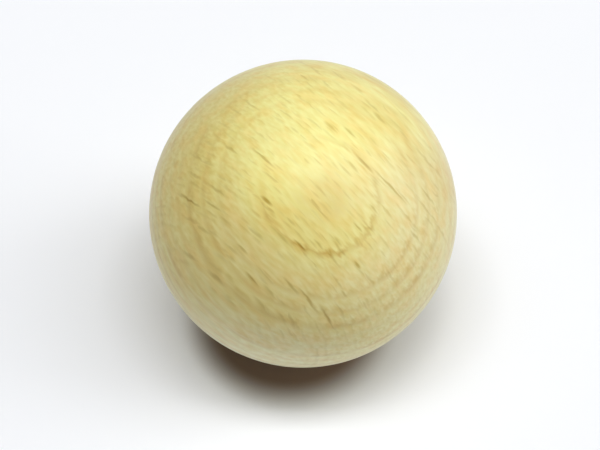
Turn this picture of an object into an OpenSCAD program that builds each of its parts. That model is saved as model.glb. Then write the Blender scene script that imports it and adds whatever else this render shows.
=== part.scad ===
// Turned wooden ball: one solid piece of beech, round all over and sanded smooth.
// Units are millimetres. The origin is the centre of the ball, and +Z points up.

/* [Ball] */
// Diameter of the finished ball
ball_d = 30; // [6:0.5:120]

/* [Smoothness] */
// Straight sides in a full circle when the ball is drawn as a mesh
circle_sides = 128; // [32:8:240]

/* [Hidden] */

// Pale straw yellow of bare sanded beech
beech_colour = "#E6D895";

// The ball has no flat and no bore: its lowest point is half of ball_d below the origin.
module ball() {
    color(beech_colour)
        sphere(d = ball_d, $fn = circle_sides);
}

ball();
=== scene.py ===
# A turned beech ball lying on a pale table: its looks, lamps and camera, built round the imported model.
import math
from functools import partial

import bpy
from mathutils import Matrix, Vector, noise


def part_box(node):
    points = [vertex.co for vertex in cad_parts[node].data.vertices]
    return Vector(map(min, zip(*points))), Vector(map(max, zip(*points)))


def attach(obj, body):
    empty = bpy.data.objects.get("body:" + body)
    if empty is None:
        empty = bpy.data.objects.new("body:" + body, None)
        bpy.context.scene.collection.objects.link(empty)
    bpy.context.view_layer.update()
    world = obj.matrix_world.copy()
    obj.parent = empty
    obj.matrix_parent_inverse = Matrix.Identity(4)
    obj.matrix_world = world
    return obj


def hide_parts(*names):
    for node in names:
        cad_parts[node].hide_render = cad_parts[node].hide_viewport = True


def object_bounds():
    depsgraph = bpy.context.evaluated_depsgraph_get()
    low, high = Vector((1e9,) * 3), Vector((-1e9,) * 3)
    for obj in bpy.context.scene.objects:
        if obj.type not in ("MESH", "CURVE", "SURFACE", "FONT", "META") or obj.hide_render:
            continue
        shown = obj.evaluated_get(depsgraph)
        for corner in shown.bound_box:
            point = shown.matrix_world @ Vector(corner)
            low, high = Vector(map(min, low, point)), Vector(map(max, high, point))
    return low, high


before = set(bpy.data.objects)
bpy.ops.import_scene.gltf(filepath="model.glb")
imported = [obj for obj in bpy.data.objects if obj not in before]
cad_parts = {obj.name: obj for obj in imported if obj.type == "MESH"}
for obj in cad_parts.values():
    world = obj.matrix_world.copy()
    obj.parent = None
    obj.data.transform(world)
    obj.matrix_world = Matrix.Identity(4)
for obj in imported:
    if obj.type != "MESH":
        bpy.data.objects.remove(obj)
cadLow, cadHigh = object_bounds()
ballRadius = min(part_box("ball")[1]) * 1000
ballCentre = (cadLow + cadHigh) / 2
print("frame loaded: ball of", round(2 * ballRadius, 2), "mm")


def metres(millimetres):
    return millimetres / 1000


# Way from the ball's centre: azimuth runs round from the front towards the right, elevation is above level.
def direction(azimuth, elevation):
    a = math.radians(azimuth)
    e = math.radians(elevation)
    return Vector((math.sin(a) * math.cos(e), -math.cos(a) * math.cos(e), math.sin(e)))


# sRGB hex to the linear colour that nodes and lamps take.
def hexColour(text):
    parts = [int(text[i:i + 2], 16) / 255 for i in (1, 3, 5)]
    linear = [p / 12.92 if p <= 0.04045 else ((p + 0.055) / 1.055) ** 2.4 for p in parts]
    return (*linear, 1)


# Adds a node. inputs maps a socket's name or number to a value, a socket, or a node (its first output).
def addNode(tree, kind, inputs=None, **settings):
    node = tree.nodes.new("ShaderNode" + kind)
    node.location = (len(tree.nodes) % 14 * 180, -(len(tree.nodes) // 14) * 260)
    for name, value in settings.items():
        setattr(node, name, value)
    for socket, value in (inputs or {}).items():
        source = value.outputs[0] if isinstance(value, bpy.types.Node) else value
        if isinstance(source, bpy.types.NodeSocket):
            tree.links.new(source, node.inputs[socket])
        else:
            node.inputs[socket].default_value = source
    return node


def newMaterial(name):
    material = bpy.data.materials.new(name)
    material.use_nodes = True
    material.node_tree.nodes.clear()
    return material, material.node_tree


# The camera looks down at the ball from the front.
shot = {
    "azimuth": 0,       # degrees round from the front
    "elevation": 55,    # degrees above the table
    "distance": 260,    # millimetres from the ball's centre
    "ballSpan": 0.514,  # share of the frame's width that the ball fills
    "ballRight": 0.005, # where its centre lies from the frame's middle, as shares of the width
    "ballUp": 0.019,
    "sensor": 36,       # millimetres
}


def addCamera():
    data = bpy.data.cameras.new("camera")
    camera = bpy.data.objects.new("camera", data)
    bpy.context.scene.collection.objects.link(camera)
    back = direction(shot["azimuth"], shot["elevation"])
    right = Vector((0, 0, 1)).cross(back).normalized()
    up = back.cross(right)
    outline = math.tan(math.asin(ballRadius / shot["distance"]))  # half the ball's outline, per unit of depth
    frameWidth = 2 * outline / shot["ballSpan"]
    data.sensor_width = shot["sensor"]
    data.lens = shot["sensor"] / frameWidth
    data.clip_start = 0.01
    data.clip_end = 20
    aside = -(right * shot["ballRight"] + up * shot["ballUp"]) * frameWidth * metres(shot["distance"])
    camera.location = ballCentre + back * metres(shot["distance"])
    aim = ballCentre + aside - camera.location
    camera.rotation_euler = aim.to_track_quat("-Z", "Y").to_euler()
    bpy.context.scene.camera = camera


addCamera()
print("camera placed")

# How the blank lay in the tree. Angles in degrees, lengths in millimetres.
blank = {
    "layerAzimuth": 14,    # way that the growth layers face
    "layerElevation": 61,
    "grainTurn": -57,      # turn of the grain about that way, from level
    "heartDistance": 85,   # from the ball's centre to the heart of the tree, on the side that the layers face
    "cells": 120,          # mesh cells along each of the ball's six sides
    "relief": 0.012,       # height that sanding leaves the hard late wood proud of the soft
    "waviness": 0.02,      # depth of the slow waves that hand sanding leaves
    "waveLength": 7,
}
# The lines where each year's growth ends, as depths in millimetres below the pole that the layers face.
# Then how dark each is, from 0 to 1, how far the wood darkens before it and how far it clears after it, in
# millimetres. Last, how dense the wood is just before the line and just after it, from 0 to 1.
ringLines = [
    (0.0, 0.4, 0.1, 0.3, 0.6, 0.5),
    (1.1, 0.9, 0.2, 0.2, 0.25, 0.3),
    (1.75, 0.1, 0.2, 0.15, 0.15, 0.2),
    (3.5, 0.45, 0.4, 0.3, 0.6, 0.35),
    (4.8, 0.35, 0.6, 0.3, 0.7, 0.6),
    (6.25, 0.5, 0.7, 0.5, 1.0, 0.7),
    (7.8, 0.15, 0.7, 0.3, 0.75, 0.6),
    (9.2, 0.2, 0.7, 0.3, 0.75, 0.6),
    (10.9, 0.5, 0.8, 0.3, 0.9, 0.4),
    (12.3, 0.35, 0.6, 0.3, 0.8, 0.4),
    (13.8, 0.5, 0.8, 0.3, 0.9, 0.4),
    (15.5, 0.6, 0.8, 0.3, 1.0, 0.4),
    (16.7, 0.35, 0.6, 0.3, 0.8, 0.4),
    (18.4, 0.6, 0.8, 0.3, 1.0, 0.4),
    (19.6, 0.4, 0.6, 0.3, 0.8, 0.4),
    (21.3, 0.5, 0.8, 0.3, 0.9, 0.4),
    (22.9, 0.65, 0.8, 0.3, 1.0, 0.4),
    (24.2, 0.35, 0.6, 0.3, 0.8, 0.4),
    (25.8, 0.6, 0.8, 0.3, 1.0, 0.4),
    (27.4, 0.45, 0.7, 0.3, 0.8, 0.4),
    (28.8, 0.6, 0.7, 0.3, 0.9, 0.4),
    (30.3, 0.5, 0.8, 0.3, 0.9, 0.4),
]


# Rows are the blank's axes: across the grain, along it, and out through the growth layers.
def blankAxes():
    layers = direction(blank["layerAzimuth"], blank["layerElevation"])
    level = Vector((0, 0, 1)).cross(layers).normalized()
    rise = layers.cross(level)
    turn = math.radians(blank["grainTurn"])
    grain = level * math.cos(turn) + rise * math.sin(turn)
    return Matrix((grain.cross(layers), grain, layers))


toBlank = blankAxes()


# Depth below the layers' pole of a place in the blank, measured through the curved rings.
def ringDepth(across, through):
    return math.hypot(blank["heartDistance"] - through, across) - (blank["heartDistance"] - ballRadius)


# How dark the ring lines are at a depth, and how dense the wood is there, both from 0 to 1.
def ringTone(depth):
    dark = 0
    dense = ringLines[0][4]
    for (start, _, _, _, _, early), (line, _, _, _, late, _) in zip(ringLines, ringLines[1:]):
        if start <= depth <= line:
            share = (depth - start) / (line - start)
            dense = early + (late - early) * share
    for line, lineDark, before, after, _, _ in ringLines:
        reach = before if depth < line else after
        dark = max(dark, lineDark * (1 - abs(depth - line) / reach))
    return dark, dense


# The ball's own surface: six square grids bulged onto a sphere and sanded by the wood's hardness.
def turnedSurface():
    cells = blank["cells"]
    angles = [math.tan((i / cells - 0.5) * math.pi / 2) for i in range(cells + 1)]
    sides = [
        (Vector((0, 0, 1)), Vector((0, 1, 0))),
        (Vector((0, 0, -1)), Vector((0, 1, 0))),
        (Vector((1, 0, 0)), Vector((0, 1, 0))),
        (Vector((-1, 0, 0)), Vector((0, 1, 0))),
        (Vector((0, 1, 0)), Vector((0, 0, 1))),
        (Vector((0, -1, 0)), Vector((0, 0, 1))),
    ]
    fromBlank = toBlank.transposed()
    found = {}
    points = []
    faces = []
    corners = []
    for side, (out, along) in enumerate(sides):
        across = along.cross(out)
        grid = []
        for u in angles:
            for v in angles:
                spot = (out + across * u + along * v).normalized()
                key = tuple(round(x, 5) for x in spot)  # neighbouring sides share the points of their edge
                if key not in found:
                    found[key] = len(points)
                    place = spot * ballRadius
                    hard = ringTone(ringDepth(place.x, place.z))[0]
                    wave = noise.noise(place / blank["waveLength"]) * 0.5 + 0.5
                    sanded = blank["relief"] * (1 - hard) + blank["waviness"] * wave
                    points.append(fromBlank @ (spot * metres(ballRadius - sanded)))
                grid.append(found[key])
        row = cells + 1
        for i in range(cells):
            for j in range(cells):
                first = i * row + j
                faces.append((grid[first], grid[first + row], grid[first + row + 1], grid[first + 1]))
                corners.append((side, i, j))
    return points, faces, corners


# The baked picture's layout: the six sides in three columns and two lines, each with a narrow margin.
def layOutSides(mesh, corners):
    columns = 3
    lines = 2
    margin = 0.003  # as a share of the picture
    layer = mesh.uv_layers.new(name="OFBake")
    flat = []
    for side, i, j in corners:
        for di, dj in ((0, 0), (1, 0), (1, 1), (0, 1)):
            u = (i + di) / blank["cells"]
            v = (j + dj) / blank["cells"]
            flat.append(margin + (side % columns + u * (1 - 2 * margin * columns)) / columns)
            flat.append(margin + (side // columns + v * (1 - 2 * margin * lines)) / lines)
    layer.uv.foreach_set("vector", flat)


def buildBall():
    points, faces, corners = turnedSurface()
    mesh = bpy.data.meshes.new("turned_ball")
    mesh.from_pydata(points, [], faces)
    layOutSides(mesh, corners)
    mesh.shade_smooth()
    mesh.update()
    ball = bpy.data.objects.new("turned_ball", mesh)
    bpy.context.scene.collection.objects.link(ball)
    return ball


ball = buildBall()
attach(ball, "root")
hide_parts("ball")
print("ball turned and sanded:", len(ball.data.polygons), "faces")

# Bare sanded beech, matt with a faint silkiness: straw-coloured wood with soft brown ring lines and short
# brown flecks along the grain. The fuzz that sanding leaves pales it where it turns away from the eye.
# Its colour also carries painted light from the table, paler over the lower front rim.
beech = {
    "clear": "#FDF9AD",       # soft wood
    "laid": {                 # colours laid over it, one over the other, and how strongly
        "bleached": ("#F0E8B3", 1.0),   # duller, less yellow and a little darker towards the lower right end of the blank
        "yellow": ("#E8DEA0", 0.8),     # darker and a little warmer towards the left
        "dense": ("#E4D486", 1.0),      # the hard wood that each year ends with
        "pale": ("#FFFAD8", 0.75),      # painted light from the table, paler towards the lower front rim
        "stain": ("#D2B24C", 0.32),     # ochre patches beside the rings
    },
    "tints": {                # what each of these leaves of the colour under it
        "lemon": "#FFFFE4",   # round the pole that the layers face, and at one end of the grain
        "fibre": "#F3ECD2",   # the darkest fibres
        "warm": "#FFF5E8",    # streaks with an orange cast
        "ring": "#DABF88",    # ring lines
        "ray": "#CABB7E",     # the rays, cut across
    },
    "roughness": 0.5,
    "ior": 1.5,
    "fuzz": 0.4,              # strength of the pale sheen
    "fuzzRoughness": 0.3,
    "fuzzColour": "#F0F6FF",
    "grainRelief": 0.012,     # millimetres that the fibres stand up
    "raySink": 0.6,           # share of that by which the rays lie lower
    "raySmooth": 0.1,         # how much less rough the rays are
    "rayRagged": 0.35,        # millimetres that the fibres push the edge of a ray about
    "ringRagged": 0.6,        # millimetres that they push a ring line about
    "wander": 0.4,            # millimetres that the whole grain wanders
}
lowerFront = tuple(toBlank @ direction(-20, -36))  # the way of the lower front rim, where the table's light is painted
# How the looks change through the blank. First the way that a change runs, as the blank's axes: across the
# grain to the lower left, along it to the lower right, and out through the layers. Then where it starts and
# ends, in millimetres along that way, and its value at each.
changes = {
    "ringLines": ((2, 1, 0), -20, 8, 0.35, 1),        # faint at the upper right
    "innermostRing": ((0, 1, 0), -4.5, -1, 0.1, 1),   # it doesn't close at its upper end
    "ringsOutsideTableLight": (lowerFront, 9.3, 15, 1, 0.4),   # ring lines fade under the painted light from the table
    "nearRays": ((0, 0, 1), 0, 3, 0, 1),              # the main rays, on the side that the layers face
    "farRays": ((0, 0, 1), 0, -4, 0, 1),              # the bold ones, on the side away from it
    "fibres": ((1, 0, 0), -10, 4, 0.7, 1),            # darkest at the lower left
    "bleached": ((0.36, 1, 0), -4, 2, 0, 1),          # the lower right
    "lowerYellow": ((1, 0.2, 0), 1, 8, 0, 1),         # the lower left
    "upperYellow": ((1, -1, 0), 0, 10, 0, 1),         # the left
    "dense": ((1, -0.35, 0), 0, 9, 0.35, 1),          # strongest at the left
    # painted light from the table, paler over the lower front rim
    "pale": (lowerFront, 9.3, 15, 0, 1),
    "stain": ((1, 0, 0), -6, -10, 0.15, 1),           # the upper right
    "lemonPole": ((1, 0.5, 0), -4, 2, 0.35, 1),       # strongest below the pole
    "lemonEnd": ((0, 1, 0), -5, -12, 0, 0.3),         # the upper left
}
# Noise in the wood: the size of its patches across the grain, along it and through the layers, in
# millimetres, its detail and its seed.
noises = {
    "wander": ((8, 8, 8), 2.0, 0.0),
    "fibres": ((0.36, 1.6, 0.55), 1.0, 0.0),    # drawn coarser than real fibres, so that they show
    "ringBreaks": ((2, 3, 2), 2.0, 5.0),
    "stains": ((3, 6, 2), 1.0, 11.0),
    "warmStreaks": ((1.1, 2.8, 1.2), 2.0, 23.0),
}
# What comes in with noise, depth or distance, as the sockets of a range: from where (1) to where (2), and
# its value at each (3 and 4), which is 0 and 1 unless it says otherwise.
fades = {
    # By noise, from 0 to 1.
    "ringBreaks": {1: 0.35, 2: 0.6, 3: 0.3, 4: 1.0},    # ring lines, never gone altogether
    "stains": {1: 0.35, 2: 0.7},
    "warmStreaks": {1: 0.42, 2: 0.68},
    "fibres": {1: 0.24, 2: 0.76},
    # By depth below the pole, in millimetres.
    "pastInnermost": {1: 1.6, 2: 2.4},                  # rings that run all the way round
    "allRound": {1: 12.0, 2: 16.0, 3: 0.0, 4: 0.9},     # rings as strong on one side as on the other
    "upperYellow": {1: 3.5, 2: 7.5},
    "lemonPole": {1: 2.8, 2: 0.8},
    # By distance from the ball's middle across and along the grain, in millimetres: the rays.
    "cutAtSides": {1: 10.5, 2: 14.0, 3: 1.0, 4: 0.15},
    "cutAtEnds": {1: 8.5, 2: 12.5, 3: 1.0, 4: 0.15},
    # By distance from a ray's middle, as a share of half its size.
    "rayBody": {1: 1.35, 2: 0.2},
}
# The rays, seen where they are cut across: how long they are along the grain and how thick, in millimetres,
# the length and width of wood that each has to itself, how dark the darkest is, and a seed. Real beech rays
# are about 0.2 mm thick at most, and are drawn up to twice as coarse so that they show.
rays = {
    "bold": (2.6, 0.36, 5.2, 2.6, 1.0, 71.0),
    "usual": (2.0, 0.3, 2.8, 1.3, 0.5, 0.0),
    "fine": (1.4, 0.24, 1.6, 0.65, 0.3, 37.0),
}
rayLean = (0.06, 0.05, 0)  # how far the cells shift, in cells, for each millimetre out through the layers
rayless = 0.35             # share of the cells that are left empty
# The rays that stand out on the side that the layers face: place across the grain, start and end along it,
# in millimetres from the pole, and how dark.
mainRays = [
    (1.6, -7.7, -4.7, 0.8),
    (4.9, -3.9, -2.5, 1.0),
    (5.7, 1.1, 2.6, 1.0),
    (-5.8, -0.5, 1.9, 0.8),
    (-6.2, 1.6, 6.1, 0.8),
    (9.0, 2.9, 5.0, 0.75),
    (8.6, 4.6, 7.6, 0.8),
    (8.1, 7.2, 9.9, 0.9),
    (9.4, -9.6, -7.2, 0.95),
    (8.6, -7.3, -5.5, 0.7),
    (7.2, -8.4, -6.0, 0.55),
    (7.3, -10.3, -9.0, 0.55),
    (13.1, -2.6, -0.3, 0.85),
    (13.1, -5.5, -3.8, 0.8),
    (11.2, 0.1, 1.8, 0.85),
    (3.1, -10.0, -8.2, 0.6),
    (5.7, -11.6, -9.7, 0.65),
    (1.4, -12.0, -10.4, 0.55),
    (3.9, -11.3, -10.5, 0.5),
    (-0.6, -12.1, -10.7, 0.8),
    (-2.2, -11.9, -9.7, 0.7),
    (-7.2, -3.1, -1.5, 0.65),
    (-6.1, -4.7, -3.1, 0.5),
    (-2.2, -3.1, -1.8, 0.4),
    (-4.6, -0.7, 1.1, 0.5),
    (1.6, -0.7, 2.3, 0.5),
    (4.7, -0.9, 0.3, 0.45),
    (8.0, -2.9, -0.7, 0.5),
    (9.9, -2.3, -0.9, 0.55),
    (-0.3, 3.8, 5.1, 0.7),
    (4.2, 2.4, 3.8, 0.6),
    (2.4, 3.5, 4.7, 0.5),
    (2.5, 6.4, 7.4, 0.75),
    (2.4, 7.9, 9.4, 0.4),
    (5.5, 7.5, 8.4, 0.45),
    (-4.6, 8.2, 9.7, 0.5),
    (-5.3, 6.3, 8.0, 0.4),
    (4.4, 9.7, 10.8, 0.45),
    (3.9, 10.7, 12.1, 0.5),
    (10.1, 0.4, 2.7, 0.4),
    (10.8, 2.1, 3.8, 0.4),
    (-10.9, -2.2, -0.4, 0.5),
    (-13.1, -0.9, 1.3, 0.5),
    (-9.7, -7.7, -6.6, 0.4),
    (-4.1, 10.4, 11.6, 0.4),
    (-3.0, 3.7, 4.9, 0.4),
    (-3.1, -6.6, -5.5, 0.35),
    (6.2, 9.7, 10.5, 0.35),
]


def woodNoise(add, inBlank, name):
    size, detail, seed = noises[name]
    spacing = tuple(1 / x for x in size)
    spread = add("VectorMath", {0: inBlank, 1: spacing, 2: (seed, seed, seed)}, operation="MULTIPLY_ADD")
    return add("TexNoise", {"Vector": spread, "Scale": 1.0, "Detail": detail})


# The value of one of the changes at a place in the blank.
def changed(add, place, name):
    way, start, end, first, last = changes[name]
    gone = add("VectorMath", {0: place, 1: way}, operation="DOT_PRODUCT").outputs["Value"]
    return add("MapRange", {0: gone, 1: start, 2: end, 3: first, 4: last})


# The rings as colour ramps, red for the lines and green for how dense the wood is. Each ramp covers a third
# of the ball's depth, because a ramp holds few stops.
def ringTones(add, depth):
    reach = 2 * ballRadius / 3
    tones = None
    for first in (0, reach, 2 * reach):
        share = add("MapRange", {0: depth, 1: first, 2: first + reach})
        third = add("ValToRGB", {0: share})
        stops = third.color_ramp.elements
        stops[0].color = (*ringTone(first), 0, 1)
        stops[1].color = (*ringTone(first + reach), 0, 1)
        for line, _, before, after, _, _ in ringLines:
            for spot in (line - before, line, line + after):
                position = (spot - first) / reach
                if 0.001 < position < 0.999:  # the ends have their stops already
                    stops.new(position).color = (*ringTone(spot), 0, 1)
        passed = add("Math", {0: depth, 1: first}, operation="GREATER_THAN")
        deeper = {"Factor": passed, 6: third if tones is None else tones, 7: third}
        tones = add("Mix", deeper, data_type="RGBA").outputs[2]
    return tones


# The ring lines, and how dense the wood is.
def ringMarks(add, inBlank, place, depth, fibres):
    # Fibres leave the lines ragged by 0.1 mm or so.
    reach = beech["ringRagged"]
    ragged = add("Math", {0: fibres, 1: reach, 2: depth}, operation="MULTIPLY_ADD")
    level = add("Math", {0: ragged, 1: reach / 2}, operation="SUBTRACT")
    lines, dense, _ = add("SeparateColor", {0: ringTones(add, level)}).outputs
    patches = woodNoise(add, inBlank, "ringBreaks")
    broken = add("MapRange", {0: patches, **fades["ringBreaks"]})
    pastInnermost = add("MapRange", {0: depth, **fades["pastInnermost"]})
    closed = add("Math", {0: pastInnermost, 1: changed(add, place, "innermostRing")}, operation="MAXIMUM")
    # Deep in the blank the rings are as strong on one side as on the other.
    allRound = add("MapRange", {0: depth, **fades["allRound"]})
    darker = add("Math", {0: changed(add, place, "ringLines"), 1: allRound}, operation="MAXIMUM")
    denser = add("Math", {0: changed(add, place, "dense"), 1: allRound}, operation="MAXIMUM")
    # Ring lines fade where the table's light is painted.
    outsideTableLight = changed(add, place, "ringsOutsideTableLight")
    for share in (broken, closed, darker, outsideTableLight):
        lines = add("Math", {0: lines, 1: share}, operation="MULTIPLY")
    dense = add("Math", {0: dense, 1: denser}, operation="MULTIPLY")
    return lines, dense


# One size of ray, scattered one to a cell.
def rayLayer(add, rayFlat, through, size):
    long, thick, cellLong, cellWide, darkest, seed = rays[size]
    lean = add("VectorMath", {0: rayLean, "Scale": through}, operation="SCALE")
    spacing = (1 / cellWide, 1 / cellLong, 0)
    spread = add("VectorMath", {0: rayFlat, 1: spacing, 2: lean}, operation="MULTIPLY_ADD")
    moved = add("VectorMath", {0: spread, 1: (seed, seed, 0)}, operation="ADD")
    cells = add("TexVoronoi", {"Vector": moved, "Scale": 1.0}, voronoi_dimensions="2D")
    offset = add("VectorMath", {0: moved, 1: cells.outputs["Position"]}, operation="SUBTRACT")
    stretch = (2 * cellWide / thick, 2 * cellLong / long, 0)
    shaped = add("VectorMath", {0: offset, 1: stretch}, operation="MULTIPLY")
    far = add("VectorMath", {0: shaped}, operation="LENGTH").outputs["Value"]
    body = add("MapRange", {0: far, **fades["rayBody"]}, interpolation_type="SMOOTHSTEP")
    chance = add("SeparateColor", {0: cells.outputs["Color"]})
    dark = add("MapRange", {0: chance, 1: rayless, 2: 1.0, 3: 0.0, 4: darkest})
    return add("Math", {0: body, 1: dark}, operation="MULTIPLY")


# Rays are blades that stand across the rings, so they are flecks where the saw cut along the rings.
def rayMarks(add, place, rayPlace, fibres):
    across, along, through = add("SeparateXYZ", {0: place}).outputs
    ragged = add("Math", {0: fibres, 1: beech["rayRagged"], 2: rayPlace}, operation="MULTIPLY_ADD")
    rayFlat = add("CombineXYZ", {0: ragged, 1: along})
    usual = rayLayer(add, rayFlat, through, "usual")
    fine = rayLayer(add, rayFlat, through, "fine")
    bold = rayLayer(add, rayFlat, through, "bold")
    farBold = add("Math", {0: bold, 1: changed(add, place, "farRays")}, operation="MULTIPLY")
    flecks = add("Math", {0: usual, 1: fine}, operation="MAXIMUM")
    flecks = add("Math", {0: flecks, 1: farBold}, operation="MAXIMUM")
    nearSide = changed(add, place, "nearRays")
    thick = rays["usual"][1]
    for rayAcross, start, end, dark in mainRays:
        stretch = (2 / thick, 2 / (end - start), 0)
        middle = (-rayAcross * stretch[0], -(start + end) / 2 * stretch[1], 0)
        near = add("VectorMath", {0: rayFlat, 1: stretch, 2: middle}, operation="MULTIPLY_ADD")
        far = add("VectorMath", {0: near}, operation="LENGTH").outputs["Value"]
        body = add("MapRange", {0: far, **fades["rayBody"]}, interpolation_type="SMOOTHSTEP")
        strength = add("Math", {0: nearSide, 1: dark}, operation="MULTIPLY")
        fleck = add("Math", {0: body, 1: strength}, operation="MULTIPLY")
        flecks = add("Math", {0: flecks, 1: fleck}, operation="MAXIMUM")
    # Where the surface runs along the rays, they are broad and faint.
    for way, name in ((across, "cutAtSides"), (along, "cutAtEnds")):
        gone = add("Math", {0: way}, operation="ABSOLUTE")
        cutAcross = add("MapRange", {0: gone, **fades[name]})
        flecks = add("Math", {0: flecks, 1: cutAcross}, operation="MULTIPLY")
    return flecks


# The wood's colours laid one over the other, and then darkened by the tints.
def woodColour(add, inBlank, place, depth, fibres, rings, dense, flecks):
    deep = add("MapRange", {0: depth, **fades["upperYellow"]})
    upper = add("Math", {0: changed(add, place, "upperYellow"), 1: deep}, operation="MULTIPLY")
    yellow = add("Math", {0: changed(add, place, "lowerYellow"), 1: upper}, operation="MAXIMUM")
    patches = woodNoise(add, inBlank, "stains")
    stains = add("MapRange", {0: patches, **fades["stains"]})
    stain = add("Math", {0: stains, 1: changed(add, place, "stain")}, operation="MULTIPLY")
    covers = {
        "bleached": changed(add, place, "bleached"),
        "yellow": yellow,
        "dense": dense,
        # painted light from the table
        "pale": changed(add, place, "pale"),
        "stain": stain,
    }
    colour = hexColour(beech["clear"])
    for name, cover in covers.items():
        own, strength = beech["laid"][name]
        amount = add("Math", {0: cover, 1: strength}, operation="MULTIPLY")
        mixed = {"Factor": amount, 6: colour, 7: hexColour(own)}
        colour = add("Mix", mixed, data_type="RGBA").outputs[2]

    nearPole = add("MapRange", {0: depth, **fades["lemonPole"]})
    pole = add("Math", {0: nearPole, 1: changed(add, place, "lemonPole")}, operation="MULTIPLY")
    lemon = add("Math", {0: pole, 1: changed(add, place, "lemonEnd")}, operation="MAXIMUM")
    darkFibres = add("MapRange", {0: fibres, **fades["fibres"]})
    fibre = add("Math", {0: darkFibres, 1: changed(add, place, "fibres")}, operation="MULTIPLY")
    streaks = woodNoise(add, inBlank, "warmStreaks")
    warm = add("MapRange", {0: streaks, **fades["warmStreaks"]})
    covers = {"lemon": lemon, "fibre": fibre, "warm": warm, "ring": rings, "ray": flecks}
    for name, cover in covers.items():
        mixed = {"Factor": cover, 6: colour, 7: hexColour(beech["tints"][name])}
        colour = add("Mix", mixed, data_type="RGBA", blend_type="MULTIPLY").outputs[2]
    return colour


def sandedBeech():
    material, tree = newMaterial("bare_sanded_beech")
    add = partial(addNode, tree)
    spot = add("TexCoord").outputs["Object"]
    turn = toBlank.to_euler()
    inBlank = add("Mapping", {"Vector": spot, "Rotation": turn, "Scale": (1000, 1000, 1000)})  # millimetres

    # The grain wanders by a tenth of a millimetre or so over 8 mm.
    wander = woodNoise(add, inBlank, "wander")
    shift = add("VectorMath", {0: wander.outputs["Color"], 1: (0.5, 0.5, 0.5)}, operation="SUBTRACT")
    reach = (beech["wander"], 0, beech["wander"])
    place = add("VectorMath", {0: shift, 1: reach, 2: inBlank}, operation="MULTIPLY_ADD")
    across, _, through = add("SeparateXYZ", {0: place}).outputs

    # Rings curve round the heart of the tree, and the rays point at it.
    heart = blank["heartDistance"]
    heartGap = add("Math", {0: heart, 1: through}, operation="SUBTRACT")
    toHeart = add("CombineXYZ", {0: across, 1: heartGap})
    fromHeart = add("VectorMath", {0: toHeart}, operation="LENGTH").outputs["Value"]
    depth = add("Math", {0: fromHeart, 1: heart - ballRadius}, operation="SUBTRACT")
    rayAngle = add("Math", {0: across, 1: heartGap}, operation="ARCTAN2")
    rayPlace = add("Math", {0: rayAngle, 1: heart}, operation="MULTIPLY")

    fibres = woodNoise(add, inBlank, "fibres")
    rings, dense = ringMarks(add, inBlank, place, depth, fibres)
    flecks = rayMarks(add, place, rayPlace, fibres)
    colour = woodColour(add, inBlank, place, depth, fibres, rings, dense, flecks)

    # Rays are a little smoother than the wood round them, and lie lower.
    rough = {0: flecks, 1: -beech["raySmooth"], 2: beech["roughness"]}
    smoothed = add("Math", rough, operation="MULTIPLY_ADD")
    raised = add("Math", {0: flecks, 1: -beech["raySink"], 2: fibres}, operation="MULTIPLY_ADD")
    relief = add("Bump", {"Height": raised, "Distance": metres(beech["grainRelief"])})
    shader = add("BsdfPrincipled", {
        "Base Color": colour,
        "Roughness": smoothed,
        "IOR": beech["ior"],
        "Sheen Weight": beech["fuzz"],
        "Sheen Roughness": beech["fuzzRoughness"],
        "Sheen Tint": hexColour(beech["fuzzColour"]),
        "Normal": relief,
    })
    add("OutputMaterial", {"Surface": shader})
    return material


ball.data.materials.append(sandedBeech())
print("beech painted")

# The table and the room.
stage = {
    "tableColour": "#F9FBFF",   # as the camera and reflections see it
    "tableBounce": "#F2F8FF",   # as it lights the ball from below
    "tableRadius": 3000,        # millimetres
    "tableGlow": 0.15,          # share of its shown colour that needs no lamp, near the ball
    "glowFrom": 60,             # millimetres from the ball, where that share starts to rise to the whole
    "glowTo": 400,
    "worldSeen": "#FAFBFE",     # what the camera and reflections see past the table
    "worldLight": 0.02,         # the little light that comes from everywhere else
}
# Shade painted into the table's colour: how far the middle of each painted shade lies right of and behind
# the point where the ball touches, how far from that middle it starts to clear and has cleared, in
# millimetres, and its colour.
paintedShades = {
    "paintedLeeShadow": (2.8, -0.3, 9.0, 13.5, "#E5E7EB"),  # painted shadow, where the ball keeps light from the left away
    "paintedContactShade": (-1.4, -2.4, 7.4, 11.4, "#7C695B"),  # painted contact shade: light gets in only by way of the wood
}
# Soft lamps: azimuth and elevation in degrees, distance, width and height in millimetres, power in watts.
lamps = {
    "overheadStrip": (0, 88, 2500, 1700, 520, 40),
    "rightSoftbox": (90, 58, 2500, 900, 1300, 18),
    "lowRightSoftbox": (92, 26, 2500, 1300, 900, 11),
    "leftSoftbox": (-90, 66, 2500, 1200, 900, 5),
}


# 1 for what the eye or a reflection sees, 0 for light on its way to the ball.
def seenRays(add):
    path = add("LightPath").outputs
    reflected = add("Math", {0: path["Is Glossy Ray"], 1: path["Is Transmission Ray"]}, operation="MAXIMUM")
    return add("Math", {0: path["Is Camera Ray"], 1: reflected}, operation="MAXIMUM")
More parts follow.
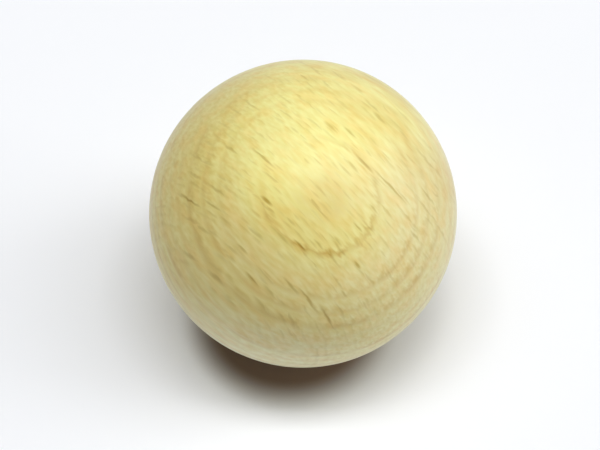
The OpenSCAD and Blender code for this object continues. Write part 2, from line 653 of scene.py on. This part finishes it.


# Matt white, so it takes soft shadows and shows no reflection, with shade painted into its colour under and
# beside the ball, and far off it glows to merge with the room.
def mattTable():
    material, tree = newMaterial("matt_white_table")
    add = partial(addNode, tree)
    place = add("TexCoord").outputs["Object"]
    colour = hexColour(stage["tableColour"])
    # Each painted shade blends the table's colour towards its own tone near its middle.
    for toRight, toBack, start, end, tone in paintedShades.values():
        spot = (ballCentre.x + metres(toRight), ballCentre.y + metres(toBack), cadLow.z)
        away = add("VectorMath", {0: place, 1: spot}, operation="DISTANCE").outputs["Value"]
        reach = add("Math", {0: away, 1: 1000.0}, operation="MULTIPLY")
        shade = add("MapRange", {0: reach, 1: end, 2: start}, interpolation_type="SMOOTHSTEP")
        colours = {"Factor": shade, 6: colour, 7: hexColour(tone)}
        colour = add("Mix", colours, data_type="RGBA").outputs[2]
    brightening = {0: reach, 1: stage["glowFrom"], 2: stage["glowTo"], 3: stage["tableGlow"], 4: 1.0}
    glow = add("MapRange", brightening)
    lit = add("BsdfDiffuse", {"Color": colour})
    white = add("Emission", {"Color": colour})
    shown = add("MixShader", {0: glow, 1: lit, 2: white})
    bounced = add("BsdfDiffuse", {"Color": hexColour(stage["tableBounce"])})
    paint = add("MixShader", {0: seenRays(add), 1: bounced, 2: shown})
    add("OutputMaterial", {"Surface": paint})
    return material


def addTable():
    edges = 96
    radius = metres(stage["tableRadius"])
    turns = [2 * math.pi * i / edges for i in range(edges)]
    rim = [(radius * math.cos(a), radius * math.sin(a), cadLow.z) for a in turns]
    mesh = bpy.data.meshes.new("table")
    mesh.from_pydata(rim, [], [range(edges)])
    mesh.materials.append(mattTable())
    table = bpy.data.objects.new("table", mesh)
    bpy.context.scene.collection.objects.link(table)


def lightWorld():
    world = bpy.data.worlds.new("studio")
    bpy.context.scene.world = world
    world.use_nodes = True
    world.node_tree.nodes.clear()
    add = partial(addNode, world.node_tree)
    room = add("Background", {"Color": (1, 1, 1, 1), "Strength": stage["worldLight"]})
    shown = add("Background", {"Color": hexColour(stage["worldSeen"]), "Strength": 1.0})
    mix = add("MixShader", {0: seenRays(add), 1: room, 2: shown})
    add("OutputWorld", {"Surface": mix})


def hangLamps():
    for name, (azimuth, elevation, distance, width, height, power) in lamps.items():
        data = bpy.data.lights.new(name, "AREA")
        data.shape = "RECTANGLE"
        data.size = metres(width)
        data.size_y = metres(height)
        data.energy = power
        lamp = bpy.data.objects.new(name, data)
        bpy.context.scene.collection.objects.link(lamp)
        way = direction(azimuth, elevation)
        lamp.location = ballCentre + way * metres(distance)
        lamp.rotation_euler = way.to_track_quat("Z", "Y").to_euler()


addTable()
lightWorld()
hangLamps()
bpy.context.scene.view_settings.view_transform = "Standard"
print("table, world and lamps in place")
